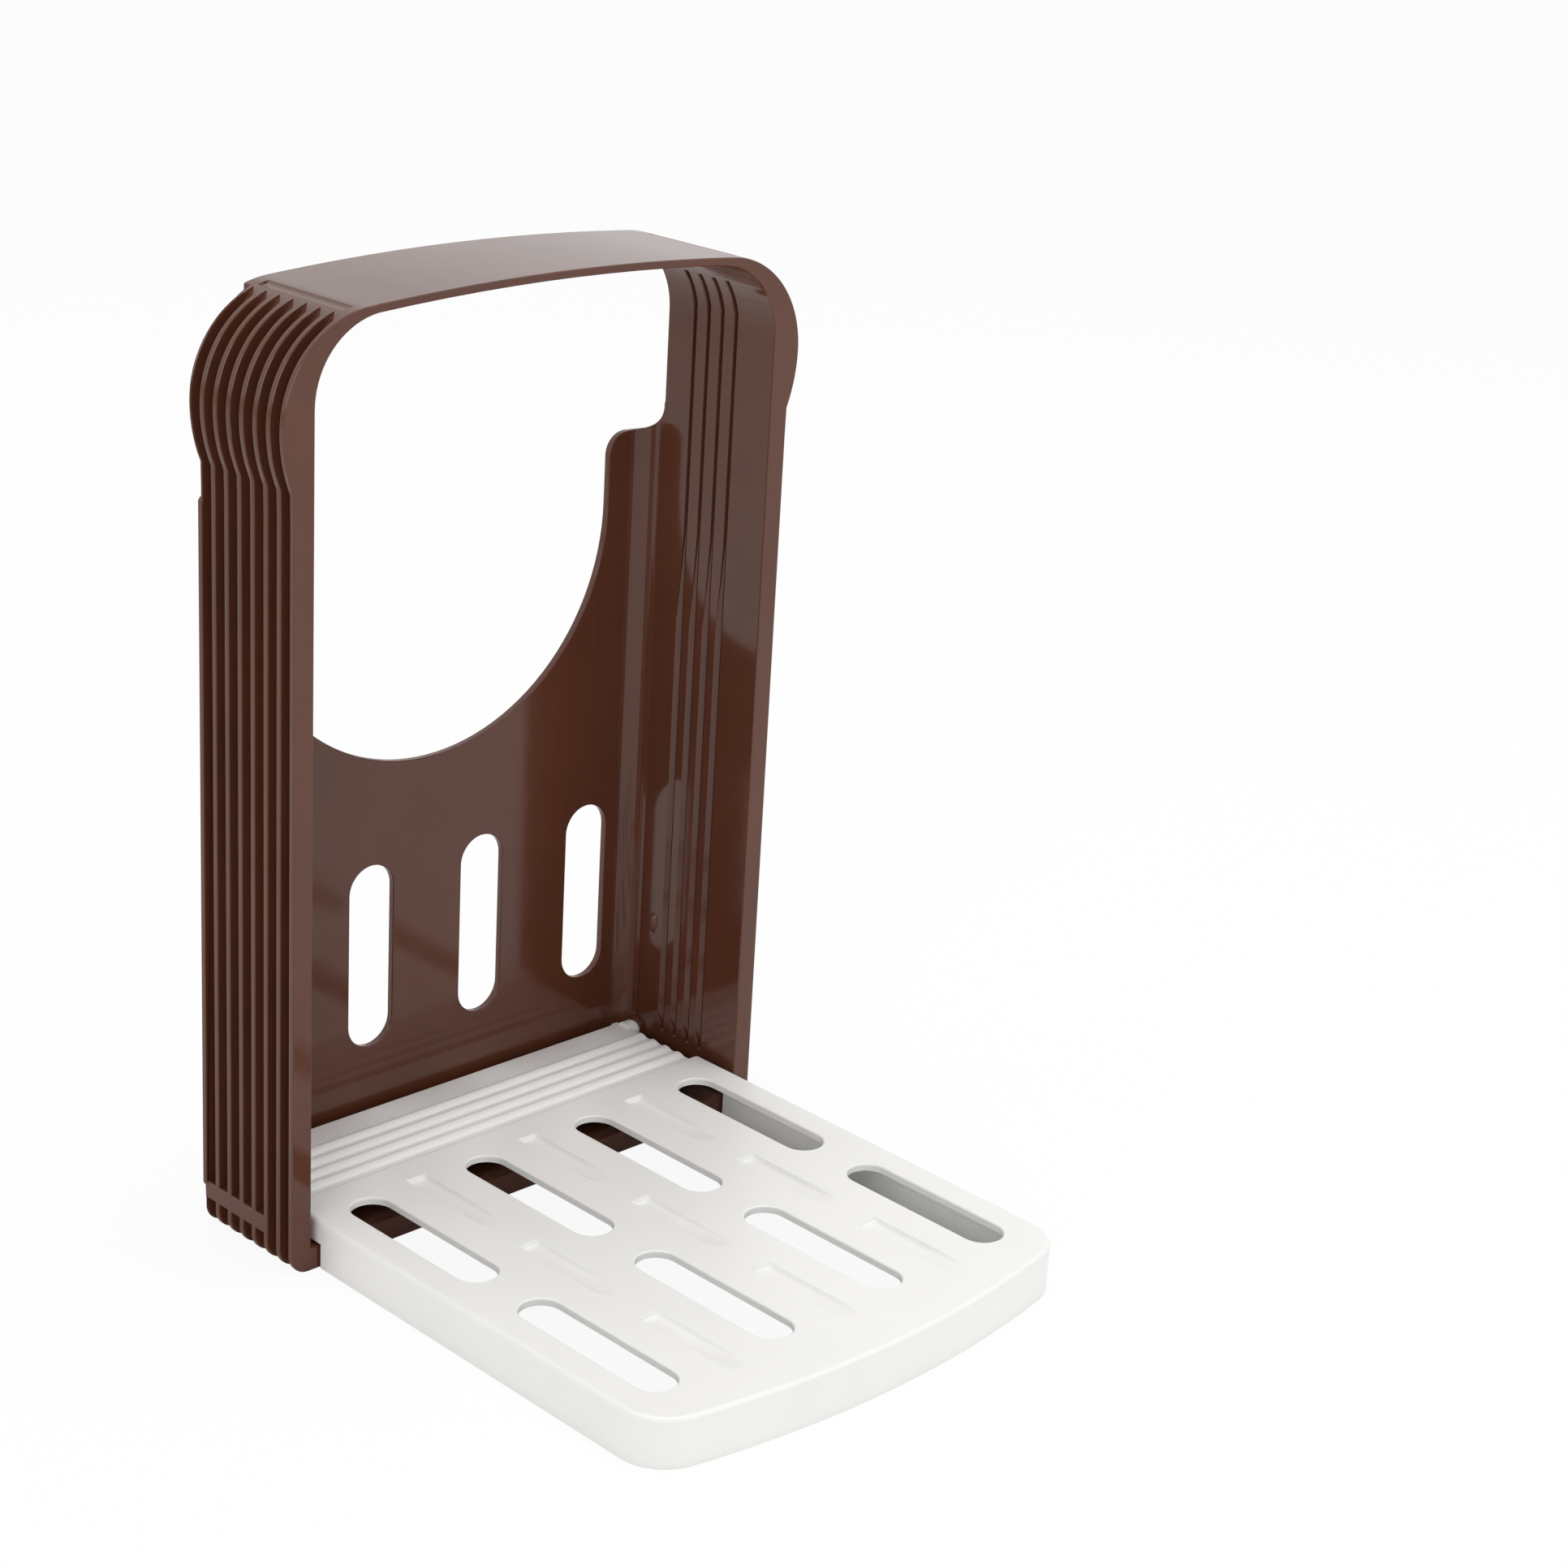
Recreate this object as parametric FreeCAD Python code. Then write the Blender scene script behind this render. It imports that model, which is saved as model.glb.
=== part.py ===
import FreeCAD, Part
import math
import os
from FreeCAD import Vector

os.makedirs("parts", exist_ok=True)

# Bread slicer guide: an upright slotted frame with a bread tray hinged at its foot.
# All sizes are in millimetres. While building, Y = 0 is the front face of the frame,
# X = 0 is its middle and Z = 0 is the table. The front is towards -Y.

# ---- general -----------------------------------------------------------------
cut_margin = 1.0
overlap = 0.5
tolerance = 0.01

# ---- driving sizes: ribs and knife slits -------------------------------------
rib_pitch = 5.0
rib_thickness = 1.66
rib_count = 8
slit_count = 4
slit_width = 1.25
first_slit_y = 14.0
slit_bottom_z = 13.0
slit_top_z = 226.0
slit_reach_x = (60.0, 82.0)

# ---- driving sizes: side walls and arch --------------------------------------
wall_inner_x = 70.7
wall_thickness = 2.0
rib_tip_x = 76.4
wall_depth = 39.1
arch_foot_z = 189.0
kink_z = 195.3
shoulder_x = 79.4
shoulder_radius = 25.8
below_shoulder_radius = 37.7
crown_height = 237.75
crown_radius = 694.0
inner_corner_radius = 20.0
channel_end_x = 62.0
channel_ramp_x = 67.0
channel_ramp_root = 1.0
crease_x = 60.3
crease_radius = 1.6
crease_depth = 0.3
rear_rib_chamfer = 1.1
rear_bar_tip_x = 76.6
rear_bar_low_z = 10.0
rear_bar_high_z = 187.0
rear_bar_corner_radius = 1.5
foot_radius = 5.0
belt_low_z = 7.3
belt_high_z = 12.0

# ---- driving sizes: back panel and floor -------------------------------------
panel_front_y = 45.3
panel_thickness = 2.0
panel_top_z = 181.0
corner_inner_radius = 6.3
strip_sweep_radius = 8.0
cut_radius = 57.8
cut_centre_z = 162.2
cut_lip_radius = 6.0
back_slot_x = (-54.45, -18.15, 18.15, 54.45)
back_slot_width = 13.9
back_slot_low_z = 28.1
back_slot_high_z = 78.5
floor_top_z = 6.0
floor_thickness = 2.0
wall_bottom_radius = 1.9
tub_outer_radius = 5.0
tub_inner_chamfer = 2.0
tub_overlap = 5.0

# ---- driving sizes: tray -----------------------------------------------------
tray_top_z = 12.95
tray_half_width = 68.4
deck_thickness = 2.0
deck_edge_radius = 1.2
rear_edge_radius = 0.8
rear_corner_radius = 1.5
step_overlap = 2.0
tray_front_y = -128.3
bow_radius = 285.0
front_corner_radius = 13.0
tray_rear_y = 42.7
skirt_thickness = 2.0
skirt_rear_y = -0.7
skirt_split_y = -106.0
cheek_low_z = 6.5
ridge_zone_y = 12.3
ridge_zone_half_width = 66.4
ridge_drop = 1.1
ridge_count = 4
ridge_width = 3.5
ridge_half_length = 66.1
ridge_end_chamfer = 0.8
ridge_root = 0.3
deck_slot_x = (-54.5, -18.2, 18.2, 54.5)
deck_slot_width = 11.0
deck_slot_rows = ((-48.0, 2.4), (-110.6, -61.0))
scoop_x = (-36.3, 0.0, 36.3)
scoop_rear_y = (3.2, -39.9, -83.0)
scoop_width = 6.0
scoop_flat_length = 17.0
scoop_length = 31.0
scoop_depth = 1.2

# ---- driving sizes: hinge and catch ------------------------------------------
hinge_y = 39.5
hinge_z = 10.0
pin_radius = 2.5
pin_clearance = 0.05
pin_tip_x = 71.6
socket_end_x = 71.8
socket_pad_radius = 3.85
socket_pad_x = 69.6
socket_pad_root = 0.6
boss_radius = 2.95
boss_end_x = 69.2
catch_y = 34.4
catch_z = 43.8
catch_half_height = 2.6
catch_radius = 1.3

# ---- derived sizes -----------------------------------------------------------
skin_outer_x = wall_inner_x + wall_thickness
crown_centre_z = crown_height - crown_radius
rib_rear_y = rib_pitch * (rib_count - 1) + rib_thickness
panel_back_y = panel_front_y + panel_thickness
corner_outer_radius = corner_inner_radius + panel_thickness
corner_x = wall_inner_x - corner_inner_radius
corner_y = panel_front_y - corner_inner_radius
deck_low_z = tray_top_z - deck_thickness
rear_plate_top_z = tray_top_z - ridge_drop
rear_plate_low_z = rear_plate_top_z - deck_thickness
floor_low_z = floor_top_z - floor_thickness
ridge_radius = ((ridge_width / 2.0) ** 2 + ridge_drop ** 2) / (2.0 * ridge_drop)
middle_y = (tray_front_y + panel_back_y) / 2.0


# ---- general helpers ---------------------------------------------------------
def box(x0, x1, y0, y1, z0, z1):
    return Part.makeBox(x1 - x0, y1 - y0, z1 - z0, Vector(x0, y0, z0))


def fuse_all(shapes):
    first = shapes[0]
    if len(shapes) > 1:
        first = first.multiFuse(shapes[1:])
    return first.removeSplitter()


def arc(centre, radius, start, end, to_point):
    """Arc edge from start to end (degrees), placed by to_point(u, v)."""
    middle = math.radians((start + end) / 2.0)
    first = math.radians(start)
    last = math.radians(end)
    points = []
    for angle in (first, middle, last):
        u = centre[0] + radius * math.cos(angle)
        v = centre[1] + radius * math.sin(angle)
        points.append(to_point(u, v))
    return Part.Arc(points[0], points[1], points[2]).toShape()


def line(a, b):
    return Part.makeLine(a, b)


def mirrored(shape):
    return shape.mirror(Vector(0, 0, 0), Vector(1, 0, 0))


def prism(edges, direction):
    """Closed outline from sorted edges, drawn out along direction."""
    wire = Part.Wire(Part.__sortEdges__(edges))
    return Part.Face(wire).extrude(direction)


def edges_at(solid, z):
    """Edges that lie flat at height z."""
    found = []
    for edge in solid.Edges:
        b = edge.BoundBox
        if abs(b.ZMin - z) < tolerance and abs(b.ZMax - z) < tolerance:
            found.append(edge)
    return found


def outline(corners):
    """Straight edges that close the corners into a loop."""
    count = len(corners)
    return [line(corners[i], corners[(i + 1) % count]) for i in range(count)]


def pill_in_xy(centre_x, y0, y1, width, z0, z1):
    """Upright prism of a slot with full-round ends that runs along Y."""
    r = width / 2.0
    ends = [Part.makeCylinder(r, z1 - z0, Vector(centre_x, y, z0)) for y in (y0 + r, y1 - r)]
    middle = box(centre_x - r, centre_x + r, y0 + r, y1 - r, z0, z1)
    return fuse_all([middle] + ends)


def pill_in_xz(centre_x, z0, z1, width, y0, y1):
    """Prism along Y of a slot with full-round ends that runs up Z."""
    r = width / 2.0
    along = Vector(0, 1, 0)
    ends = [Part.makeCylinder(r, y1 - y0, Vector(centre_x, y0, z), along) for z in (z0 + r, z1 - r)]
    middle = box(centre_x - r, centre_x + r, y0, y1, z0 + r, z1 - r)
    return fuse_all([middle] + ends)


# ---- outlines of the arch, seen from the front -------------------------------
def xz(y):
    return lambda u, v: Vector(u, y, v)


def corner_join(corner_x_in, radius, outer_radius):
    """Centre height and join angle of a corner circle that touches the crown circle."""
    reach = outer_radius - radius
    centre_z = crown_centre_z + math.sqrt(reach ** 2 - corner_x_in ** 2)
    angle = math.degrees(math.acos(corner_x_in / reach))
    return centre_z, angle


def arch_edges(side_x, radius, outer_radius, foot_z, y):
    """Round-cornered arch: straight legs, corner arcs and the crown."""
    centre_x = side_x - radius
    centre_z, angle = corner_join(centre_x, radius, outer_radius)
    place = xz(y)
    right = arc((centre_x, centre_z), radius, 0, angle, place)
    left = arc((-centre_x, centre_z), radius, 180 - angle, 180, place)
    crown = arc((0, crown_centre_z), outer_radius, angle, 180 - angle, place)
    legs = [
        line(place(side_x, foot_z), place(side_x, centre_z)),
        line(place(-side_x, centre_z), place(-side_x, foot_z)),
        line(place(-side_x, foot_z), place(side_x, foot_z)),
    ]
    return legs + [right, left, crown]


def shoulder_edges(foot_z, y):
    """Outline of the rib tips: straight, kink, bulging shoulder and crown."""
    place = xz(y)
    centre_x = shoulder_x - shoulder_radius
    centre_z, angle = corner_join(centre_x, shoulder_radius, crown_radius)
    lower_x = shoulder_x - below_shoulder_radius
    swing = math.degrees(math.asin((centre_z - kink_z) / below_shoulder_radius))
    kink_x = lower_x + below_shoulder_radius * math.cos(math.radians(swing))
    edges = [arc((0, crown_centre_z), crown_radius, angle, 180 - angle, place)]
    for side in (1, -1):
        flip = (lambda s: lambda u, v: place(s * u, v))(side)
        edges.append(arc((centre_x, centre_z), shoulder_radius, 0, angle, flip))
        edges.append(arc((lower_x, centre_z), below_shoulder_radius, -swing, 0, flip))
        edges.append(line(flip(kink_x, kink_z), flip(rib_tip_x, foot_z)))
    edges.append(line(place(-rib_tip_x, foot_z), place(rib_tip_x, foot_z)))
    return edges


def shoulder_height(x):
    """Height of the shoulder's outline at x, on its upper quarter."""
    centre_x = shoulder_x - shoulder_radius
    centre_z, angle = corner_join(centre_x, shoulder_radius, crown_radius)
    return centre_z + math.sqrt(shoulder_radius ** 2 - (x - centre_x) ** 2)


def skin_height(x):
    """Height of the channel floors at x, inside the rounded corner."""
    radius = inner_corner_radius + wall_thickness
    centre_x = skin_outer_x - radius
    centre_z, angle = corner_join(centre_x, radius, crown_radius)
    return centre_z + math.sqrt(radius ** 2 - (x - centre_x) ** 2)


def inner_opening(y0, y1, foot_z):
    edges = arch_edges(wall_inner_x, inner_corner_radius, crown_radius - wall_thickness, foot_z, y0)
    return prism(edges, Vector(0, y1 - y0, 0))


def slits(side):
    """Knife slits through one side, from near the floor up into the rounded corner."""
    cutters = []
    x0, x1 = sorted((side * slit_reach_x[0], side * slit_reach_x[1]))
    r = slit_width / 2.0
    for i in range(slit_count):
        y = first_slit_y + rib_pitch * i
        body = box(x0, x1, y - r, y + r, slit_bottom_z + r, slit_top_z)
        foot = Part.makeCylinder(r, x1 - x0, Vector(x0, y, slit_bottom_z + r), Vector(1, 0, 0))
        cutters.append(body.fuse(foot))
    return cutters


def rear_chamfered(plate, y):
    """The rearmost rib, with the rear edge of its outline cut back."""
    edges = []
    for edge in plate.Edges:
        b = edge.BoundBox
        on_rear = abs(b.YMin - y) < tolerance and abs(b.YMax - y) < tolerance
        outside = max(abs(b.XMin), abs(b.XMax)) > wall_inner_x + tolerance
        if on_rear and outside and b.ZMax > b.ZMin + overlap:
            edges.append(edge)
    return plate.makeChamfer(rear_rib_chamfer, edges)


# ---- frame -------------------------------------------------------------------
def channel_ramp(side):
    """Sloped end of the channels, where their floors rise to meet the smooth band."""
    flip = lambda u, v: Vector(side * u, 0, v)
    corners = [
        flip(channel_end_x, shoulder_height(channel_end_x)),
        flip(channel_ramp_x, skin_height(channel_ramp_x)),
        flip(channel_ramp_x - 2.0 * channel_ramp_root, skin_height(channel_ramp_x) - channel_ramp_root),
        flip(channel_end_x, skin_height(channel_end_x) - channel_ramp_root),
    ]
    return prism(outline(corners), Vector(0, rib_rear_y, 0))


def crease(side):
    """Cutter for the shallow groove where the band meets a shoulder."""
    low_y = rib_thickness + crease_radius
    high_y = rib_rear_y - crease_radius
    z = shoulder_height(crease_x) + crease_radius - crease_depth
    start = Vector(side * crease_x, low_y, z)
    return Part.makeCylinder(crease_radius, high_y - low_y, start, Vector(0, 1, 0))


def arch():
    """Top of the frame: two ribbed shoulders joined by a smooth crowned band."""
    skin_edges = arch_edges(skin_outer_x, inner_corner_radius + wall_thickness, crown_radius,
                            arch_foot_z, 0.0)
    skin = prism(skin_edges, Vector(0, wall_depth, 0))
    band = prism(shoulder_edges(arch_foot_z, 0.0), Vector(0, wall_depth, 0))
    band = band.common(box(-channel_end_x, channel_end_x, 0, wall_depth, kink_z, crown_height))
    plates = []
    for i in range(rib_count):
        plates.append(prism(shoulder_edges(arch_foot_z, rib_pitch * i), Vector(0, rib_thickness, 0)))
    plates[-1] = rear_chamfered(plates[-1], rib_rear_y)
    ramps = [channel_ramp(1), channel_ramp(-1)]
    solid = fuse_all([skin, band] + plates + ramps)
    solid = solid.cut(inner_opening(-cut_margin, wall_depth + cut_margin, arch_foot_z - cut_margin))
    return solid.cut(slits(1) + slits(-1) + [crease(1), crease(-1)]).removeSplitter()


def rib_plate(y):
    """One outside rib of the right wall, with its rounded foot."""
    place = xz(y)
    r = foot_radius
    edges = [
        line(place(skin_outer_x, arch_foot_z), place(rib_tip_x, arch_foot_z)),
        line(place(rib_tip_x, arch_foot_z), place(rib_tip_x, r)),
        arc((rib_tip_x - r, r), r, -90, 0, place),
        line(place(rib_tip_x - r, 0), place(wall_inner_x, 0)),
        line(place(wall_inner_x, 0), place(wall_inner_x, arch_foot_z)),
        line(place(wall_inner_x, arch_foot_z), place(skin_outer_x, arch_foot_z)),
    ]
    return prism(edges, Vector(0, rib_thickness, 0))


def rear_bar():
    """Straight bar that squares up the rearmost rib between the foot and the shoulder."""
    place = xz(rib_rear_y - rib_thickness)
    x0 = skin_outer_x - overlap
    x1 = rear_bar_tip_x
    z0 = rear_bar_low_z
    z1 = rear_bar_high_z
    r = rear_bar_corner_radius
    edges = [
        line(place(x0, z0), place(x1 - r, z0)),
        arc((x1 - r, z0 + r), r, -90, 0, place),
        line(place(x1, z0 + r), place(x1, z1 - r)),
        arc((x1 - r, z1 - r), r, 0, 90, place),
        line(place(x1 - r, z1), place(x0, z1)),
        line(place(x0, z1), place(x0, z0)),
    ]
    return prism(edges, Vector(0, rib_thickness, 0))


def right_wall():
    """Slotted side wall with eight outside ribs and the belt that ties their feet."""
    skin = box(wall_inner_x, skin_outer_x, 0, rib_rear_y, floor_low_z, arch_foot_z)
    low_edge = [e for e in edges_at(skin, floor_low_z) if e.BoundBox.XMin > skin_outer_x - tolerance]
    skin = skin.makeFillet(wall_bottom_radius, low_edge)
    ribs = [rib_plate(rib_pitch * i) for i in range(rib_count)]
    ribs[-1] = rear_chamfered(ribs[-1], rib_rear_y)
    belt_front = rib_pitch * 2 + rib_thickness / 2.0
    belt_rear = rib_rear_y - rib_thickness / 2.0
    belt = box(skin_outer_x, rib_tip_x, belt_front, belt_rear, belt_low_z, belt_high_z)
    solid = fuse_all([skin, belt, rear_bar()] + ribs)
    return solid.cut(slits(1)).removeSplitter()


def corner_prism(radius, y0, z0, z1):
    """Prism whose plan is the tub-like back: straight sides, round corners, flat back."""
    place = lambda u, v: Vector(u, v, z0)
    side_x = corner_x + radius
    back_y = corner_y + radius
    edges = [
        line(place(-side_x, y0), place(side_x, y0)),
        line(place(side_x, y0), place(side_x, corner_y)),
        arc((corner_x, corner_y), radius, 0, 90, place),
        line(place(corner_x, back_y), place(-corner_x, back_y)),
        arc((-corner_x, corner_y), radius, 90, 180, place),
        line(place(-side_x, corner_y), place(-side_x, y0)),
    ]
    return prism(edges, Vector(0, 0, z1 - z0))


def bottom_edges(solid, z, y0):
    """Bottom edges of the sides and back, without the open front edge at y0."""
    return [e for e in edges_at(solid, z) if e.BoundBox.YMax > y0 + tolerance]


def strip_sweep():
    """Cutter for the swept top edge between the side walls and the back panel."""
    r = strip_sweep_radius
    front_y = wall_depth
    rear_y = panel_back_y + cut_margin
    top_z = arch_foot_z + cut_margin
    reach = skin_outer_x + cut_margin
    place = lambda u, v: Vector(-reach, u, v)
    edges = [
        arc((front_y + r, panel_top_z + r), r, 180, 270, place),
        line(place(front_y + r, panel_top_z), place(rear_y, panel_top_z)),
        line(place(rear_y, panel_top_z), place(rear_y, top_z)),
        line(place(rear_y, top_z), place(front_y, top_z)),
        line(place(front_y, top_z), place(front_y, panel_top_z + r)),
    ]
    return prism(edges, Vector(2.0 * reach, 0, 0))


def u_cut():
    """U-shaped cut-out of the back panel, with rounded lips at its mouth."""
    y0 = panel_front_y - cut_margin
    y1 = panel_back_y + cut_margin
    place = xz(y0)
    lip = cut_lip_radius
    top = arch_foot_z + cut_margin
    edges = [arc((0, cut_centre_z), cut_radius, 180, 360, place)]
    for side in (1, -1):
        flip = (lambda s: lambda u, v: place(s * u, v))(side)
        edges.append(line(flip(cut_radius, cut_centre_z), flip(cut_radius, panel_top_z - lip)))
        edges.append(arc((cut_radius + lip, panel_top_z - lip), lip, 180, 90, flip))
        edges.append(line(flip(cut_radius + lip, panel_top_z), flip(cut_radius + lip, top)))
    edges.append(line(place(-cut_radius - lip, top), place(cut_radius + lip, top)))
    return prism(edges, Vector(0, y1 - y0, 0))


def hinge_socket_pad(side):
    x0, x1 = sorted((side * socket_pad_x, side * (wall_inner_x + socket_pad_root)))
    return Part.makeCylinder(socket_pad_radius, x1 - x0, Vector(x0, hinge_y, hinge_z), Vector(1, 0, 0))


def hinge_socket_bore(side):
    x0, x1 = sorted((side * (socket_pad_x - cut_margin), side * socket_end_x))
    r = pin_radius + pin_clearance
    return Part.makeCylinder(r, x1 - x0, Vector(x0, hinge_y, hinge_z), Vector(1, 0, 0))


def back_panel():
    """Back of the frame: rounded tub corners, U cut-out, four slots, two hinge sockets."""
    outer = corner_prism(corner_outer_radius, rib_rear_y, floor_low_z, arch_foot_z)
    outer = outer.makeFillet(tub_outer_radius, bottom_edges(outer, floor_low_z, rib_rear_y))
    inner_y = rib_rear_y - tub_overlap
    inner = corner_prism(corner_inner_radius, inner_y, floor_top_z, arch_foot_z + cut_margin)
    inner = inner.makeChamfer(tub_inner_chamfer, bottom_edges(inner, floor_top_z, inner_y))
    solid = outer.cut(inner)
    pads = [hinge_socket_pad(side).common(outer) for side in (1, -1)]
    solid = fuse_all([solid] + pads)
    cutters = [strip_sweep(), u_cut(), hinge_socket_bore(1), hinge_socket_bore(-1)]
    for x in back_slot_x:
        cutters.append(pill_in_xz(x, back_slot_low_z, back_slot_high_z, back_slot_width,
                                  panel_front_y - cut_margin, panel_back_y + cut_margin))
    return solid.cut(cutters).removeSplitter()


def floor_plate():
    """Floor skin between the walls, carried on the same ribs as the walls."""
    plate = box(-wall_inner_x, wall_inner_x, 0, rib_rear_y, floor_low_z, floor_top_z)
    ribs = []
    for i in range(rib_count):
        y = rib_pitch * i
        ribs.append(box(-wall_inner_x, wall_inner_x, y, y + rib_thickness, 0, floor_low_z))
    return fuse_all([plate] + ribs)


def catch_bump(side):
    """Small half-round bump with sloped ends on a wall's inner face, which holds the folded tray."""
    r = catch_radius
    root = Vector(side * wall_inner_x, catch_y, catch_z - catch_half_height)
    bar = Part.makeCylinder(r, 2.0 * catch_half_height, root)
    place = lambda u, v: Vector(side * u, catch_y - 2.0 * r, v)
    tip_x = wall_inner_x - r
    low = catch_z - catch_half_height
    high = catch_z + catch_half_height
    corners = [place(wall_inner_x, low), place(tip_x, low + r),
               place(tip_x, high - r), place(wall_inner_x, high)]
    return bar.common(prism(outline(corners), Vector(0, 4.0 * r, 0)))


# ---- tray --------------------------------------------------------------------
def tray_plan_edges(inset, rear_y, z):
    """Plan of the tray: straight sides, rounded front corners, bowed front."""
    place = lambda u, v: Vector(u, v, z)
    half = tray_half_width - inset
    big = bow_radius - inset
    small = front_corner_radius - inset
    bow_y = tray_front_y + bow_radius
    centre_x = half - small
    centre_y = bow_y - math.sqrt((big - small) ** 2 - centre_x ** 2)
    angle = math.degrees(math.atan2(centre_y - bow_y, centre_x))
    edges = [arc((0, bow_y), big, -180 - angle, angle, place)]
    edges.append(arc((centre_x, centre_y), small, angle, 0, place))
    edges.append(arc((-centre_x, centre_y), small, 180, 180 - angle, place))
    edges.append(line(place(half, centre_y), place(half, rear_y)))
    edges.append(line(place(-half, centre_y), place(-half, rear_y)))
    edges.append(line(place(-half, rear_y), place(half, rear_y)))
    return edges


def scoop(x, rear_y):
    """Shallow finger-shaped trough: square rear end, flat floor, then a run-out ramp."""
    flat_y = rear_y - scoop_flat_length
    front_y = rear_y - scoop_length
    low = tray_top_z - scoop_depth
    high = tray_top_z + cut_margin
    place = lambda u, v: Vector(x - scoop_width / 2.0, u, v)
    run = flat_y - front_y
    ramp_radius = (run ** 2 + scoop_depth ** 2) / (2.0 * scoop_depth)
    swing = math.degrees(math.asin(run / ramp_radius))
    edges = [
        line(place(rear_y, high), place(rear_y, low)),
        line(place(rear_y, low), place(flat_y, low)),
        arc((flat_y, low + ramp_radius), ramp_radius, -90, -90 - swing, place),
        line(place(front_y, tray_top_z), place(front_y, high)),
        line(place(front_y, high), place(rear_y, high)),
    ]
    return prism(edges, Vector(scoop_width, 0, 0))


def ridge(y):
    """Rounded bead across the rear of the tray, between two knife lines, with sloped ends."""
    half = ridge_half_length
    start = Vector(-half, y, tray_top_z - ridge_radius)
    bead = Part.makeCylinder(ridge_radius, 2.0 * half, start, Vector(1, 0, 0))
    place = xz(y - ridge_radius)
    low = rear_plate_top_z - ridge_root
    high = tray_top_z
    cut = ridge_end_chamfer
    corners = [place(-half, low), place(-half, high - cut), place(cut - half, high),
               place(half - cut, high), place(half, high - cut), place(half, low)]
    return bead.common(prism(outline(corners), Vector(0, 2.0 * ridge_radius, 0)))


def round_rear_corners(solid):
    """Rounds the upright edges where the full-width part of the tray ends."""
    edges = []
    for edge in solid.Edges:
        b = edge.BoundBox
        upright = b.XMax - b.XMin < tolerance and b.YMax - b.YMin < tolerance
        at_corner = abs(abs(b.XMin) - tray_half_width) < tolerance and abs(b.YMin - ridge_zone_y) < tolerance
        if upright and at_corner:
            edges.append(edge)
    return solid.makeFillet(rear_corner_radius, edges)


def tray_deck():
    """Tray top: soft-edged plate, slots, scoops, and a stepped-down ridged rear."""
    plate = prism(tray_plan_edges(0.0, ridge_zone_y, deck_low_z), Vector(0, 0, deck_thickness))
    plate = round_rear_corners(plate)
    plate = plate.makeFillet(deck_edge_radius, edges_at(plate, tray_top_z))
    half = ridge_zone_half_width
    rear = box(-half, half, ridge_zone_y - step_overlap, tray_rear_y, rear_plate_low_z, rear_plate_top_z)
    step = box(-half, half, ridge_zone_y - step_overlap, ridge_zone_y, rear_plate_low_z, deck_low_z + overlap)
    back = [e for e in rear.Edges if abs(e.BoundBox.YMin - tray_rear_y) < tolerance
            and e.BoundBox.XMax - e.BoundBox.XMin > half]
    rear = rear.makeFillet(rear_edge_radius, back)
    pieces = [plate, rear, step]
    for i in range(ridge_count):
        pieces.append(ridge(first_slit_y + rib_pitch * (i + 0.5)))
    solid = fuse_all(pieces)
    cutters = []
    for x in deck_slot_x:
        for y0, y1 in deck_slot_rows:
            cutters.append(pill_in_xy(x, y0, y1, deck_slot_width, deck_low_z - cut_margin,
                                      tray_top_z + cut_margin))
    for x in scoop_x:
        for y in scoop_rear_y:
            cutters.append(scoop(x, y))
    return solid.cut(cutters).removeSplitter()


def skirt_ring():
    """Wall round the underside of the tray, ahead of the frame, down to the table."""
    outer = prism(tray_plan_edges(0.0, skirt_rear_y, 0.0), Vector(0, 0, deck_low_z))
    inner = prism(tray_plan_edges(skirt_thickness, skirt_rear_y + cut_margin, -cut_margin),
                  Vector(0, 0, deck_low_z + 2.0 * cut_margin))
    return outer.cut(inner)


def front_skirt():
    half = tray_half_width
    zone = box(-half, half, tray_front_y, skirt_split_y, 0, deck_low_z)
    return skirt_ring().common(zone).removeSplitter()


def cheek_profile():
    """Side view of the part of the tray's side that lies inside the frame."""
    x0 = ridge_zone_half_width - skirt_thickness
    place = lambda u, v: Vector(x0, u, v)
    r = hinge_z - cheek_low_z
    edges = [
        line(place(skirt_rear_y, deck_low_z), place(skirt_rear_y, cheek_low_z)),
        line(place(skirt_rear_y, cheek_low_z), place(hinge_y, cheek_low_z)),
        arc((hinge_y, hinge_z), r, -90, 0, place),
        line(place(hinge_y + r, hinge_z), place(hinge_y + r, rear_plate_top_z)),
        line(place(hinge_y + r, rear_plate_top_z), place(ridge_zone_y, rear_plate_top_z)),
        line(place(ridge_zone_y, rear_plate_top_z), place(ridge_zone_y, deck_low_z)),
        line(place(ridge_zone_y, deck_low_z), place(skirt_rear_y, deck_low_z)),
    ]
    return prism(edges, Vector(skirt_thickness, 0, 0))


def right_side(deck):
    """Side of the tray: full-height skirt ahead of the frame, shallow cheek inside it."""
    skirt = skirt_ring().common(box(0, tray_half_width, skirt_split_y, skirt_rear_y, 0, deck_low_z))
    low = box(tray_half_width - skirt_thickness, tray_half_width, skirt_rear_y, ridge_zone_y,
              cheek_low_z, deck_low_z)
    x0 = ridge_zone_half_width - skirt_thickness
    join_y = ridge_zone_y - step_overlap
    join = box(x0, tray_half_width, join_y, ridge_zone_y, cheek_low_z, rear_plate_low_z)
    rear = cheek_profile().common(box(x0, tray_half_width, join_y, panel_front_y, 0, tray_top_z))
    solid = round_rear_corners(fuse_all([skirt, low, join, rear]))
    return solid.cut(deck).removeSplitter()


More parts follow.
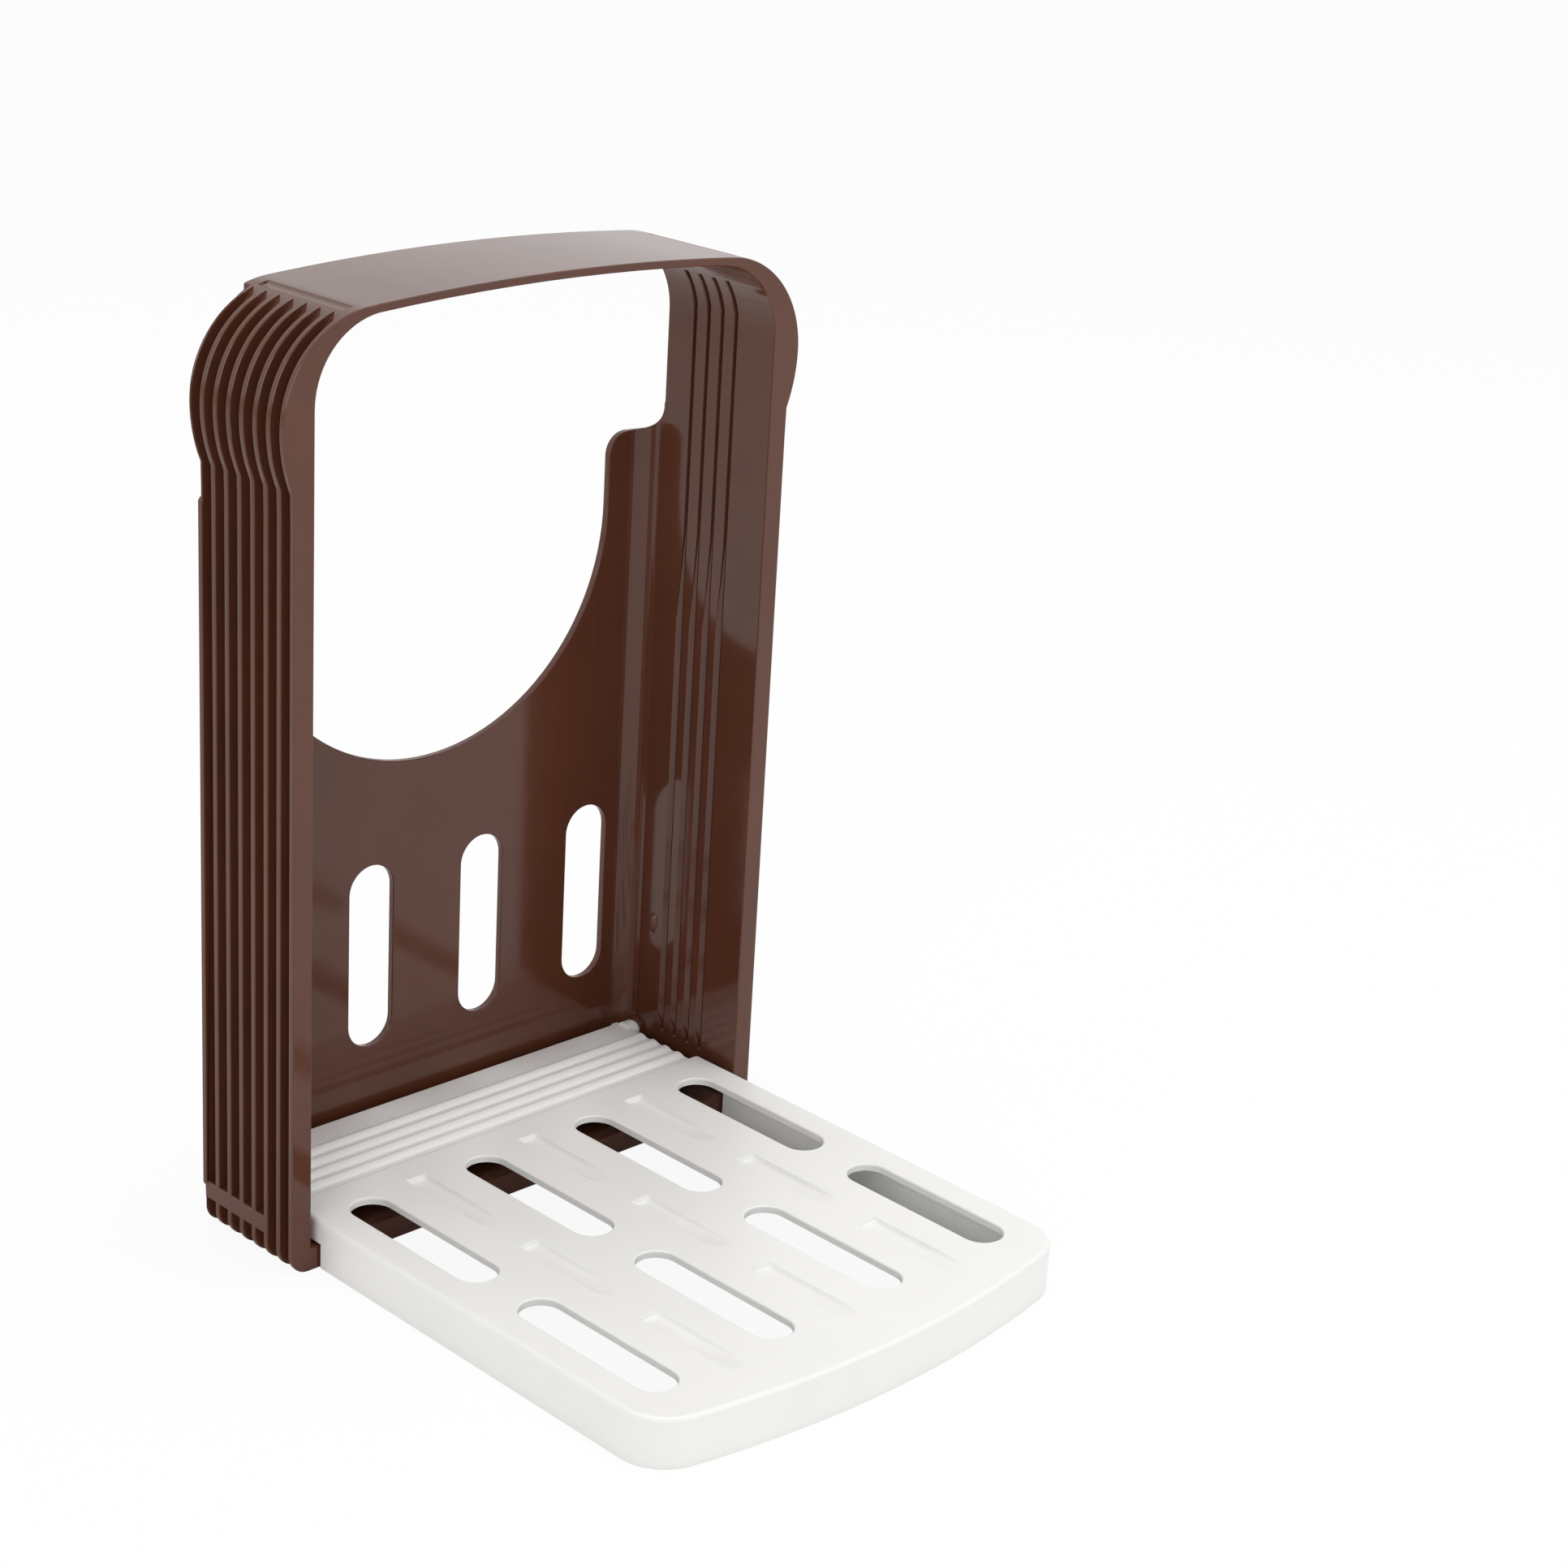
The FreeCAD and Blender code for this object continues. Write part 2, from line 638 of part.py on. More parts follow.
def trunnion(side):
    """Boss and pin on which one rear corner of the tray turns."""
    along = Vector(1, 0, 0)
    x_root = ridge_zone_half_width
    shapes = []
    for radius, reach in ((boss_radius, boss_end_x), (pin_radius, pin_tip_x)):
        x0, x1 = sorted((side * x_root, side * reach))
        shapes.append(Part.makeCylinder(radius, x1 - x0, Vector(x0, hinge_y, hinge_z), along))
    return fuse_all(shapes)


# ---- build and save ----------------------------------------------------------
def save(shape, name):
    shape.translate(Vector(0, -middle_y, 0))
    if not shape.isValid():
        raise ValueError("bad solid: " + name)
    shape.exportStep("parts/" + name + ".step")
    b = shape.BoundBox
    size = (len(shape.Solids), b.XMin, b.XMax, b.YMin, b.YMax, b.ZMin, b.ZMax)
    print(name, "solids %d  X %.2f %.2f  Y %.2f %.2f  Z %.2f %.2f" % size)


wall = right_wall()
deck = tray_deck()
side = right_side(deck)

save(arch(), "frame_arch")
save(mirrored(wall), "frame_left_wall")
save(wall, "frame_right_wall")
save(back_panel(), "frame_back_panel")
save(floor_plate(), "frame_floor")
save(Part.makeCompound([catch_bump(-1), catch_bump(1)]), "frame_catch_bumps")
save(mirrored(side), "tray_left_side")
save(side, "tray_right_side")
save(front_skirt(), "tray_front_skirt")
save(Part.makeCompound([trunnion(-1), trunnion(1)]), "tray_trunnions")
save(deck, "tray_deck")
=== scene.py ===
import bpy
import bmesh
import math
from mathutils import Matrix, Vector


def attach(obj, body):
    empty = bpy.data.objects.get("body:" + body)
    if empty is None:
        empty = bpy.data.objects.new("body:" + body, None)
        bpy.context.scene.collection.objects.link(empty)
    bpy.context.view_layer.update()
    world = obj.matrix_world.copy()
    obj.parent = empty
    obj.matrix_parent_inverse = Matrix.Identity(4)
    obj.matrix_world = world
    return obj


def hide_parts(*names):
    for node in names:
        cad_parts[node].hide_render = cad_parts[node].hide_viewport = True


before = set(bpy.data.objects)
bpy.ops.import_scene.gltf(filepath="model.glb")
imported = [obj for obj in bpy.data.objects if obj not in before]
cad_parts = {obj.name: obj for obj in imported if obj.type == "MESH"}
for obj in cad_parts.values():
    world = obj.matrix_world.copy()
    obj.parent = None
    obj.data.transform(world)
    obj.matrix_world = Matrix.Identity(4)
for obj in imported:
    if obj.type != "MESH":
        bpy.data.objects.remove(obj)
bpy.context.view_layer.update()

# A bread slicer guide: a brown ribbed frame, and an off-white slotted tray that folds up into it.
# Shapes are worked in millimetres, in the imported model's axes, and scaled to metres at the end.
MM = 0.001
FRAME_NODES = ["frame_arch", "frame_left_wall", "frame_right_wall",
               "frame_back_panel", "frame_floor"]
TRAY_NODES = ["tray_deck", "tray_left_side", "tray_right_side",
              "tray_front_skirt", "tray_trunnions"]

# ---- sizes of the frame ------------------------------------------------------
WALL_INNER_X = 70.7
RIB_PITCH = 5.0
FIRST_SLIT_Y = 54.5
SLIT_COUNT = 4
SLIT_LIPS_X = (69.9, 72.1)
SLIT_LIPS_Y = (52.9, 72.4)
SLIT_LIPS_Z = (12.0, 216.0)
CHANNEL_TOPS_Y = (41.6, 78.0)
CHANNEL_TOPS_Z = 222.0
CHANNEL_FADE_X = (64.5, 68.5)
CROWN_RADIUS = 694.0
CROWN_CENTRE_Z = -456.25
CROWN_END_X = 55.67
SHOULDER_RADIUS = 25.8
SHOULDER_CENTRE_X = 53.6
SHOULDER_CENTRE_Z = 209.80
CREASE_X = 60.3
CREASE_Y = (43.6, 75.2)
CATCH_Y = 74.9
CATCH_Z = 43.8
CATCH_RADIUS = 1.25
CATCH_STRETCH = 2.04
FRAME_ROUNDING = 0.4

# ---- sizes of the tray -------------------------------------------------------
DECK_TOP = 12.95
DECK_LOW = 10.95
DECK_REAR_Y = 52.8
DECK_EDGE_RADIUS = 1.2
TRAY_HALF_WIDTH = 68.4
BOW_CENTRE_Y = 197.2
BOW_RADIUS = 285.0
FRONT_CORNER_X = 55.4
FRONT_CORNER_RADIUS = 13.0
REAR_CORNER_RADIUS = 1.5
SKIRT_REAR_Y = 39.8
SKIRT_THICKNESS = 2.0
CHEEK_LOW = 6.5
CHEEK_MIDDLE = (75.0, 9.5)
FOOT_TOP = 6.8
PLATE_TOP = 11.85
PLATE_LOW = 9.85
PLATE_FRONT_Y = 50.0
PLATE_REAR_Y = 83.2
PLATE_JOIN_X = 64.0
RIDGE_YS = (57.0, 62.0, 67.0, 72.0)
RIDGE_RADIUS = 1.942
RIDGE_RISE = 1.1
SLOT_XS = (-54.5, -18.2, 18.2, 54.5)
SLOT_ROWS = ((-7.5, 42.9), (-70.1, -20.5))
SLOT_WIDTH = 11.0
SLOT_LIP = 0.5
SCOOP_XS = (-36.3, 0.0, 36.3)
SCOOP_REAR_YS = (43.7, 0.6, -42.5)
SCOOP_DEPTH = 1.2
SCOOP_HALF_WIDTH = 3.0
SCOOP_FLAT = 15.0
SCOOP_RAMP = 16.0
SCOOP_REAR_WALL = 0.35
HINGE = (80.0, 10.0)


# ---- camera ------------------------------------------------------------------
def make_camera():
    place = Vector((-485.746, -513.903, 387.577)) * MM
    azimuth = math.radians(45.7558)
    elevation = math.radians(20.3945)
    roll = math.radians(3.4417)
    ahead = Vector((math.sin(azimuth) * math.cos(elevation),
                    math.cos(azimuth) * math.cos(elevation), -math.sin(elevation)))
    right = Vector((math.cos(azimuth), -math.sin(azimuth), 0.0))
    up = right.cross(ahead)
    x_axis = right * math.cos(roll) + up * math.sin(roll)
    y_axis = up * math.cos(roll) - right * math.sin(roll)
    turn = Matrix((x_axis, y_axis, -ahead)).transposed()
    data = bpy.data.cameras.new("camera")
    data.lens = 73.384
    data.sensor_width = 36.0
    data.clip_start = 0.01
    data.clip_end = 30.0
    camera = linked("camera", data)
    camera.matrix_world = Matrix.Translation(place) @ turn.to_4x4()
    bpy.context.scene.camera = camera


# ---- materials ---------------------------------------------------------------
def new_material(name):
    material = bpy.data.materials.new(name)
    material.use_nodes = True
    tree = material.node_tree
    return material, tree, tree.nodes["Principled BSDF"]


def noise(tree, scale, detail, roughness=0.5):
    node = tree.nodes.new("ShaderNodeTexNoise")
    node.inputs["Scale"].default_value = scale
    node.inputs["Detail"].default_value = detail
    node.inputs["Roughness"].default_value = roughness
    coords = tree.nodes.new("ShaderNodeTexCoord")
    tree.links.new(coords.outputs["Object"], node.inputs["Vector"])
    return node


def ramp(tree, source, low, high, first, last):
    node = tree.nodes.new("ShaderNodeValToRGB")
    node.color_ramp.elements[0].position = low
    node.color_ramp.elements[1].position = high
    node.color_ramp.elements[0].color = (*first, 1.0)
    node.color_ramp.elements[1].color = (*last, 1.0)
    tree.links.new(source, node.inputs["Fac"])
    return node


def spread(tree, source, low, high):
    node = tree.nodes.new("ShaderNodeMapRange")
    node.inputs["From Min"].default_value = 0.3
    node.inputs["From Max"].default_value = 0.7
    node.inputs["To Min"].default_value = low
    node.inputs["To Max"].default_value = high
    tree.links.new(source, node.inputs["Value"])
    return node


def moulded_plastic(name, dark, light, rough, ior, bump):
    """Moulded plastic: faint flow marks in colour and gloss, and a fine skin texture."""
    material, tree, shader = new_material(name)
    flow = noise(tree, 30.0, 3.0)
    colour = ramp(tree, flow.outputs["Fac"], 0.35, 0.65, dark, light)
    tree.links.new(colour.outputs["Color"], shader.inputs["Base Color"])
    haze = noise(tree, 140.0, 4.0, 0.6)
    gloss = spread(tree, haze.outputs["Fac"], rough[0], rough[1])
    tree.links.new(gloss.outputs["Result"], shader.inputs["Roughness"])
    wave = noise(tree, 55.0, 2.0)
    bumps = tree.nodes.new("ShaderNodeBump")
    bumps.inputs["Strength"].default_value = bump
    bumps.inputs["Distance"].default_value = 0.0004
    tree.links.new(wave.outputs["Fac"], bumps.inputs["Height"])
    tree.links.new(bumps.outputs["Normal"], shader.inputs["Normal"])
    shader.inputs["IOR"].default_value = ior
    return material


# ---- mesh helpers ------------------------------------------------------------
def linked(name, data):
    obj = bpy.data.objects.new(name, data)
    bpy.context.scene.collection.objects.link(obj)
    return obj


def stored(bm, mesh):
    """Writes the working mesh into mesh and frees it."""
    bm.to_mesh(mesh)
    bm.free()
    return mesh


def working_copy(mesh):
    bm = bmesh.new()
    bm.from_mesh(mesh)
    return bm


def smooth(mesh, sharp_angle=None):
    """Smooth faces, with edges above sharp_angle, in degrees, kept sharp."""
    for polygon in mesh.polygons:
        polygon.use_smooth = True
    if sharp_angle is not None:
        mesh.set_sharp_from_angle(angle=math.radians(sharp_angle))


def applied(obj):
    """Replaces the object's mesh by what its modifiers make of it."""
    depsgraph = bpy.context.evaluated_depsgraph_get()
    mesh = bpy.data.meshes.new_from_object(obj.evaluated_get(depsgraph))
    obj.modifiers.clear()
    old = obj.data
    obj.data = mesh
    bpy.data.meshes.remove(old)


def combined(obj, other, operation):
    """Applies an exact boolean of the object with another, which is then removed."""
    modifier = obj.modifiers.new("combine", "BOOLEAN")
    modifier.operation = operation
    modifier.solver = "EXACT"
    modifier.object = other
    applied(obj)
    bpy.data.objects.remove(other)


def add_ring(bm, points):
    return [bm.verts.new(point) for point in points]


def join_rings(bm, rings):
    """Skins a row of closed rings that have the same number of points."""
    for ring_a, ring_b in zip(rings, rings[1:]):
        count = len(ring_a)
        for i in range(count):
            j = (i + 1) % count
            bm.faces.new((ring_a[i], ring_a[j], ring_b[j], ring_b[i]))


def close_ends(bm, rings):
    bm.faces.new(rings[0])
    bm.faces.new(rings[-1])


def arc_points(centre, radius, start, end, steps):
    """Points of an arc from start to end, in degrees."""
    points = []
    for i in range(steps + 1):
        angle = math.radians(start + (end - start) * i / steps)
        points.append((centre[0] + radius * math.cos(angle),
                       centre[1] + radius * math.sin(angle)))
    return points


def soft_max(value, softness):
    """The larger of value and 0, with the corner between them rounded."""
    return 0.5 * (value + math.sqrt(value * value + softness * softness))


# ---- the frame ---------------------------------------------------------------
def copy_of(node_name):
    """Copy of a CAD node in millimetres, with its seams merged."""
    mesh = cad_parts[node_name].data.copy()
    mesh.transform(Matrix.Scale(1.0 / MM, 4))
    bm = working_copy(mesh)
    bmesh.ops.remove_doubles(bm, verts=bm.verts, dist=0.0005)
    stored(bm, mesh)
    mesh.materials.clear()
    return linked("copy_" + node_name, mesh)


def united(name, node_names):
    """One closed moulding from the CAD zones that meet face to face."""
    moulding = copy_of(node_names[0])
    moulding.name = name
    for node_name in node_names[1:]:
        combined(moulding, copy_of(node_name), "UNION")
    return moulding


def tidy(obj):
    """Merges the doubled points and flat faces that the unions leave."""
    bm = working_copy(obj.data)
    bmesh.ops.remove_doubles(bm, verts=bm.verts, dist=0.002)
    bmesh.ops.dissolve_limit(bm, angle_limit=math.radians(0.6), use_dissolve_boundaries=False,
                             verts=bm.verts, edges=bm.edges)
    stored(bm, obj.data)


def cut_away(obj, cutters):
    """Subtracts closed meshes, given as lists of corners and faces, from the object."""
    for corners, faces in cutters:
        mesh = bpy.data.meshes.new("cutter")
        mesh.from_pydata(corners, [], faces)
        bm = working_copy(mesh)
        bmesh.ops.recalc_face_normals(bm, faces=bm.faces)
        if bm.calc_volume(signed=True) < 0.0:
            bmesh.ops.reverse_faces(bm, faces=bm.faces)
        stored(bm, mesh)
        combined(obj, linked("cutter", mesh), "DIFFERENCE")


def slit_chamfer(side, y):
    """Wedge that slopes the rear lip of a knife slit; it tapers out at both ends."""
    slope = [(70.3, 2.55), (71.85, 0.25), (71.85, -0.1), (70.3, -0.1)]
    low = (20.0, 14.2, 14.0, 14.0)
    high = (120.0, 170.0, 170.0, 170.0)
    corners = [(side * x, y + dy, z) for (x, dy), z in zip(slope, low)]
    corners += [(side * x, y + dy, z) for (x, dy), z in zip(slope, high)]
    faces = [(0, 1, 2), (0, 2, 3), (4, 5, 6), (4, 6, 7),
             (0, 1, 5, 4), (1, 2, 6, 5), (2, 3, 7, 6), (3, 0, 4, 7)]
    return corners, faces


def outline_height(x):
    """Height of the frame's outline: the crown, and the shoulders' upper quarters."""
    if abs(x) < CROWN_END_X:
        return math.sqrt(CROWN_RADIUS ** 2 - x * x) + CROWN_CENTRE_Z
    return SHOULDER_CENTRE_Z + math.sqrt(SHOULDER_RADIUS ** 2
                                         - (abs(x) - SHOULDER_CENTRE_X) ** 2)


def crease_trough(side):
    """Wide shallow cutter that softens the groove between a shoulder and the band."""
    radius, depth, steps, half_angle = 4.0, 0.24, 24, 40.0
    centre_z = outline_height(CREASE_X) + radius - depth
    corners = []
    for y in CREASE_Y:
        for i in range(steps):
            angle = math.radians(-90.0 + half_angle * (2.0 * i / (steps - 1) - 1.0))
            corners.append((side * (CREASE_X + radius * math.cos(angle)), y,
                            centre_z + radius * math.sin(angle)))
    faces = [tuple(range(steps)), tuple(range(steps, 2 * steps))]
    for i in range(steps):
        j = (i + 1) % steps
        faces.append((i, j, j + steps, i + steps))
    return corners, faces


def on_slit_lip(point):
    return (SLIT_LIPS_X[0] < abs(point.x) < SLIT_LIPS_X[1]
            and SLIT_LIPS_Y[0] < point.y < SLIT_LIPS_Y[1]
            and SLIT_LIPS_Z[0] < point.z < SLIT_LIPS_Z[1])


def frame_weight(a, b):
    """Share of the full rounding that an edge of the frame gets: none at the slits' lips,
    and less towards the tops of the channels."""
    if on_slit_lip(a) and on_slit_lip(b):
        return 0.0
    middle = (a + b) / 2.0
    start, end = CHANNEL_FADE_X
    by_channel_top = CHANNEL_TOPS_Y[0] < middle.y < CHANNEL_TOPS_Y[1] and middle.z > CHANNEL_TOPS_Z
    if by_channel_top and abs(middle.x) < end:
        return max(0.0, (abs(middle.x) - start) / (end - start))
    return 1.0


def rounded(obj, weight_of, width, segments):
    """Rounds the sharp outer edges, by a width that weight_of gives for each edge."""
    limit = 38
    smooth(obj.data, limit)
    bm = working_copy(obj.data)
    layer = bm.edges.layers.float.new("bevel_weight_edge")
    for edge in bm.edges:
        sharp = len(edge.link_faces) == 2 and edge.calc_face_angle_signed(0.0) > math.radians(limit)
        if sharp:
            edge[layer] = weight_of(edge.verts[0].co, edge.verts[1].co)
    stored(bm, obj.data)
    modifier = obj.modifiers.new("round", "BEVEL")
    modifier.limit_method = "WEIGHT"
    modifier.width = width
    modifier.segments = segments
    modifier.use_clamp_overlap = False
    modifier.harden_normals = True
    modifier.loop_slide = True
    applied(obj)


def shaded(obj, sharp_angle, weight):
    """Smooth shading that keeps flat faces flat."""
    smooth(obj.data, sharp_angle)
    modifier = obj.modifiers.new("normals", "WEIGHTED_NORMAL")
    modifier.weight = weight
    modifier.keep_sharp = True
    applied(obj)


def make_frame():
    moulding = united("frame_moulding", FRAME_NODES)
    tidy(moulding)
    rounded(moulding, frame_weight, FRAME_ROUNDING, 3)
    cut_away(moulding, [slit_chamfer(side, FIRST_SLIT_Y + RIB_PITCH * i)
                        for side in (1, -1) for i in range(SLIT_COUNT)])
    cut_away(moulding, [crease_trough(1), crease_trough(-1)])
    shaded(moulding, 22.0, 100)
    return moulding


def catch_bumps():
    """Two oval bumps on the inner faces of the walls, just clear of the folded tray.

    Each is a dome whose foot runs out into the wall in a small fillet. A ring is given by
    how far it spreads past the dome's radius and how far it stands proud of the wall.
    """
    rises = [(0.6, -0.35), (0.35, -0.05), (0.18, 0.03), (0.06, 0.14), (-0.01, 0.30)]
    rises += [(CATCH_RADIUS * math.sin(math.radians(t)) - CATCH_RADIUS,
               CATCH_RADIUS * math.cos(math.radians(t))) for t in (72, 62, 52, 42, 32, 22, 12, 4)]
    around = 40
    bm = bmesh.new()
    for side in (1, -1):
        rings = []
        for wider, proud in rises:
            points = []
            for i in range(around):
                angle = 2.0 * math.pi * i / around
                y = CATCH_Y + (CATCH_RADIUS + wider) * math.cos(angle)
                z = CATCH_Z + (CATCH_RADIUS + wider) * CATCH_STRETCH * math.sin(angle)
                points.append((side * (WALL_INNER_X - proud), y, z))
            rings.append(add_ring(bm, points))
        join_rings(bm, rings)
        close_ends(bm, rings)
    bmesh.ops.recalc_face_normals(bm, faces=bm.faces)
    mesh = stored(bm, bpy.data.meshes.new("catch_bumps"))
    smooth(mesh)
    return linked("catch_bumps", mesh)


# ---- the tray, ring by ring --------------------------------------------------
def tray_loop(inset):
    """Plan of the tray, inset from its outline, with the wall's lowest height at each point."""
    half = TRAY_HALF_WIDTH - inset
    reach = BOW_RADIUS - FRONT_CORNER_RADIUS
    corner = (FRONT_CORNER_X, BOW_CENTRE_Y - math.sqrt(reach ** 2 - FRONT_CORNER_X ** 2))
    turn = math.degrees(math.atan2(corner[1] - BOW_CENTRE_Y, corner[0]))
    rear_radius = max(REAR_CORNER_RADIUS - inset, 0.0)
    rear = (half - rear_radius, DECK_REAR_Y - inset - rear_radius)
    bow = arc_points((0.0, BOW_CENTRE_Y), BOW_RADIUS - inset, -90.0, turn, 26)
    bend = arc_points(corner, FRONT_CORNER_RADIUS - inset, turn, 0.0, 18)[1:]
    right = [(x, y, 0.0) for x, y in bow + bend]
    right += [(half, SKIRT_REAR_Y, 0.0), (half, SKIRT_REAR_Y, CHEEK_LOW)]
    right += [(x, y, CHEEK_LOW) for x, y in arc_points(rear, rear_radius, 0.0, 90.0, 8)]
    right += [(PLATE_JOIN_X, DECK_REAR_Y - inset, CHEEK_LOW),
              (PLATE_JOIN_X, DECK_REAR_Y - inset, PLATE_LOW)]
    left = [(-x, y, z) for x, y, z in reversed(right[1:])]
    return right + left


def pill_loop(x, y0, y1, width, grow):
    half = width / 2.0
    low = arc_points((x, y0 + half), half + grow, 180.0, 360.0, 20)
    high = arc_points((x, y1 - half), half + grow, 0.0, 180.0, 20)
    return low + high


def fill_level(bm, height, up):
    """Fills the flat region between all open rims that lie at one height."""
    rims = []
    for edge in bm.edges:
        level = all(abs(vert.co.z - height) < 0.0001 for vert in edge.verts)
        if level and edge.is_boundary:
            rims.append(edge)
    bmesh.ops.triangle_fill(bm, use_beauty=True, use_dissolve=False, edges=rims,
                            normal=(0, 0, up))


def tray_wall(bm):
    """Skirt and soft top edge, open where the underside and the top are filled in.

    A level is an inset, what its height starts from, and a height: "low" starts from the
    wall's lowest height, "high" is level with the top of the foot, and None starts from 0.
    """
    inner = SKIRT_THICKNESS
    levels = [(inner, None, DECK_LOW), (inner, "high", 0.0), (inner, "low", 0.3),
              (1.91, "low", 0.09), (1.7, "low", 0.0), (0.3, "low", 0.0),
              (0.09, "low", 0.09), (0.0, "low", 0.3), (0.0, "high", 0.0)]
    for i in range(7):
        angle = math.radians(15.0 * i)
        levels.append((DECK_EDGE_RADIUS - DECK_EDGE_RADIUS * math.cos(angle), None,
                       DECK_TOP - DECK_EDGE_RADIUS + DECK_EDGE_RADIUS * math.sin(angle)))
    rings = []
    for inset, kind, z in levels:
        points = []
        for x, y, low in tray_loop(inset):
            height = z
            if kind == "low":
                height = low + z
            if kind == "high":
                height = max(low + 0.3, FOOT_TOP)
            points.append((x, y, height))
        rings.append(add_ring(bm, points))
    join_rings(bm, rings)


def tray_slot(bm, x, y0, y1):
    """Walls and rounded lips of one slot."""
    levels = []
    for i in range(6):
        angle = math.radians(90.0 + 18.0 * i)
        levels.append((SLOT_LIP + SLOT_LIP * math.cos(angle),
                       DECK_TOP - SLOT_LIP + SLOT_LIP * math.sin(angle)))
    levels += [(0.0, DECK_LOW + 0.2), (0.06, DECK_LOW + 0.06), (0.2, DECK_LOW)]
    rings = []
    for grow, z in levels:
        loop = pill_loop(x, y0, y1, SLOT_WIDTH, grow)
        rings.append(add_ring(bm, [(px, py, z) for px, py in loop]))
    join_rings(bm, rings)


def scoop_height(x, ahead):
    """Depth of a trough at x from its middle line and a distance ahead of its rear end."""
    side = SCOOP_DEPTH * (abs(x) / SCOOP_HALF_WIDTH) ** 8
    run = max(ahead - SCOOP_FLAT, 0.0)
    ramp_rise = SCOOP_DEPTH * (run / SCOOP_RAMP) ** 1.6
    rear = SCOOP_DEPTH * (max(SCOOP_REAR_WALL - ahead, 0.0) / SCOOP_REAR_WALL) ** 2.0
    return soft_max(SCOOP_DEPTH - side - ramp_rise - rear, 0.06)


def tray_scoop(bm, x, rear_y):
    """Shallow finger-shaped trough, as a patch whose rim is level with the top."""
    xs = [-3.5 + 0.25 * i for i in range(29)]
    aheads = [-0.3 + 0.1 * i for i in range(14)] + [1.75 + 0.85 * i for i in range(36)]
    grid = []
    for j, ahead in enumerate(aheads):
        row = []
        for i, dx in enumerate(xs):
            edge = i in (0, len(xs) - 1) or j in (0, len(aheads) - 1)
            depth = 0.0 if edge else scoop_height(dx, ahead)
            row.append(bm.verts.new((x + dx, rear_y - ahead, DECK_TOP - depth)))
        grid.append(row)
    for low, high in zip(grid, grid[1:]):
        for i in range(len(xs) - 1):
            bm.faces.new((low[i], high[i], high[i + 1], low[i + 1]))


def tray_top(bm):
    """Deck and skirt in one skin, with the slots and scoops let into it."""
    tray_wall(bm)
    for x in SLOT_XS:
        for y0, y1 in SLOT_ROWS:
            tray_slot(bm, x, y0, y1)
    for x in SCOOP_XS:
        for rear_y in SCOOP_REAR_YS:
            tray_scoop(bm, x, rear_y)
    bmesh.ops.remove_doubles(bm, verts=bm.verts, dist=0.0005)
    fill_level(bm, DECK_TOP, 1.0)
    fill_level(bm, DECK_LOW, -1.0)


def ridge_profile(rise, shrink):
    """Section of the ridged rear plate: rise scales the beads, shrink rounds the plate's ends."""
    points = [(PLATE_FRONT_Y, PLATE_TOP - shrink)]
    for i in range(83):
        y = 54.2 + 0.25 * i
        height = 0.0
        for centre in RIDGE_YS:
            away = min(abs(y - centre), RIDGE_RADIUS)
            bead = math.sqrt(RIDGE_RADIUS ** 2 - away ** 2) - (RIDGE_RADIUS - RIDGE_RISE)
            height += soft_max(bead, 0.12) - 0.004
        points.append((y, PLATE_TOP - shrink + height * rise))
    rear = arc_points((PLATE_REAR_Y - 0.8, PLATE_TOP - 0.8), 0.8 - shrink, 90.0, 0.0, 6)
    foot = arc_points((PLATE_REAR_Y - 0.4, PLATE_LOW + 0.4), 0.4 - shrink, 0.0, -90.0, 4)
    return points + rear + foot + [(PLATE_FRONT_Y, PLATE_LOW + shrink)]


def ridge_plate(bm):
    """Rear plate with its four beads. A station is an x, the beads' rise and the shrink."""
    stations = [(66.4, 0.0, 0.3), (66.36, 0.0, 0.15), (66.25, 0.0, 0.05), (66.1, 0.0, 0.0)]
    for i in range(1, 9):
        angle = math.radians(90.0 * i / 8)
        stations.append((65.2 + 0.9 * math.cos(angle), math.sin(angle), 0.0))
    stations = stations + [(-x, rise, shrink) for x, rise, shrink in reversed(stations)]
    rings = []
    for x, rise, shrink in stations:
        rings.append(add_ring(bm, [(x, y, z) for y, z in ridge_profile(rise, shrink)]))
    join_rings(bm, rings)
    bm.faces.new(rings[0])
    bm.faces.new(list(reversed(rings[-1])))


def tray_cheek(bm, side):
    """Side of the tray inside the frame, rounded about the hinge."""
    profile = [(50.9, 10.9), (50.9, 6.7), (51.1, 6.5)]
    profile += arc_points(HINGE, 3.5, -90.0, 0.0, 14)
    profile += [(83.5, 11.6), (83.3, PLATE_TOP - 0.02)]
    levels = [(64.4, 0.2), (64.46, 0.06), (64.6, 0.0), (66.2, 0.0), (66.34, 0.06), (66.4, 0.2)]
    rings = []
    for x, shrink in levels:
        ring = []
        for y, z in profile:
            inward = Vector((CHEEK_MIDDLE[0] - y, CHEEK_MIDDLE[1] - z)).normalized() * shrink
            ring.append((side * x, y + inward.x, z + inward.y))
        rings.append(add_ring(bm, ring))
    join_rings(bm, rings)
    close_ends(bm, rings)


def trunnion(bm, side):
    """Boss and pin on which a rear corner of the tray turns, as pairs of x and radius."""
    outline = [(66.0, 2.95), (68.95, 2.95), (69.13, 2.88), (69.2, 2.7), (69.2, 2.5),
               (71.35, 2.5), (71.53, 2.43), (71.6, 2.25)]
    around = 48
    rings = []
    for x, radius in outline:
        circle = arc_points(HINGE, radius, 0.0, 360.0 - 360.0 / around, around - 1)
        rings.append(add_ring(bm, [(side * x, y, z) for y, z in circle]))
    join_rings(bm, rings)
    close_ends(bm, rings)


